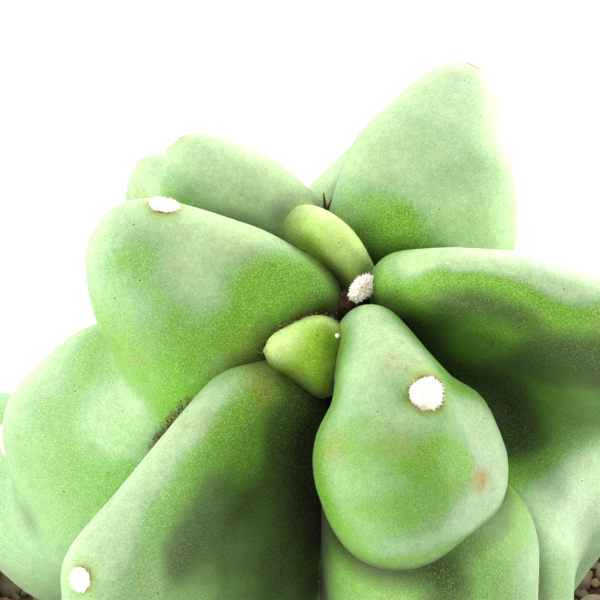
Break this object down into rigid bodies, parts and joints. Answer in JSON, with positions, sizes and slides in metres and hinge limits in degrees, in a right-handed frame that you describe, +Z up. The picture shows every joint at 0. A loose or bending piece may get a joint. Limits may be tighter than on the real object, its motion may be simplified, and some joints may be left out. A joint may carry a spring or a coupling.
{
  "type": "potted cactus",
  "caption": "Knobbly spineless columnar cactus with smooth ribbed tubercles and felt areoles, growing in a gravel-topped round clay pot.",
  "frame": {"origin": "centre of the pot's foot, on the surface that it stands on", "axes": "+Z up along the pot's axis, -Y towards the viewer of the picture"},
  "size_m": [0.132, 0.132, 0.2016],
  "materials": {
    "cactus_skin": "satin",
    "areole_wool": "matte",
    "dry_bristle": "matte",
    "gravel": "matte",
    "potting_soil": "matte",
    "terracotta": "matte"
  },
  "bodies": {
    "root": {"cactus_stem": "cactus_skin", "crown_wool": "areole_wool", "bristle_tuft": "dry_bristle", "gravel_top_dressing": "gravel", "potting_soil": "potting_soil", "pot": "terracotta", "areole_left": "areole_wool", "areole_left_middle": "areole_wool", "areole_left_low": "areole_wool", "areole_front_left": "areole_wool", "areole_front_left_middle": "areole_wool", "areole_front_left_low": "areole_wool", "areole_front": "areole_wool", "areole_front_middle": "areole_wool", "areole_front_low": "areole_wool", "areole_right": "areole_wool", "areole_front_right": "areole_wool", "areole_right_middle": "areole_wool", "areole_right_low": "areole_wool", "areole_back_right": "areole_wool", "areole_back_right_middle": "areole_wool", "areole_back_right_low": "areole_wool", "areole_back_left": "areole_wool", "areole_back_left_middle": "areole_wool", "areole_back_left_low": "areole_wool"}
  },
  "joints": []
}
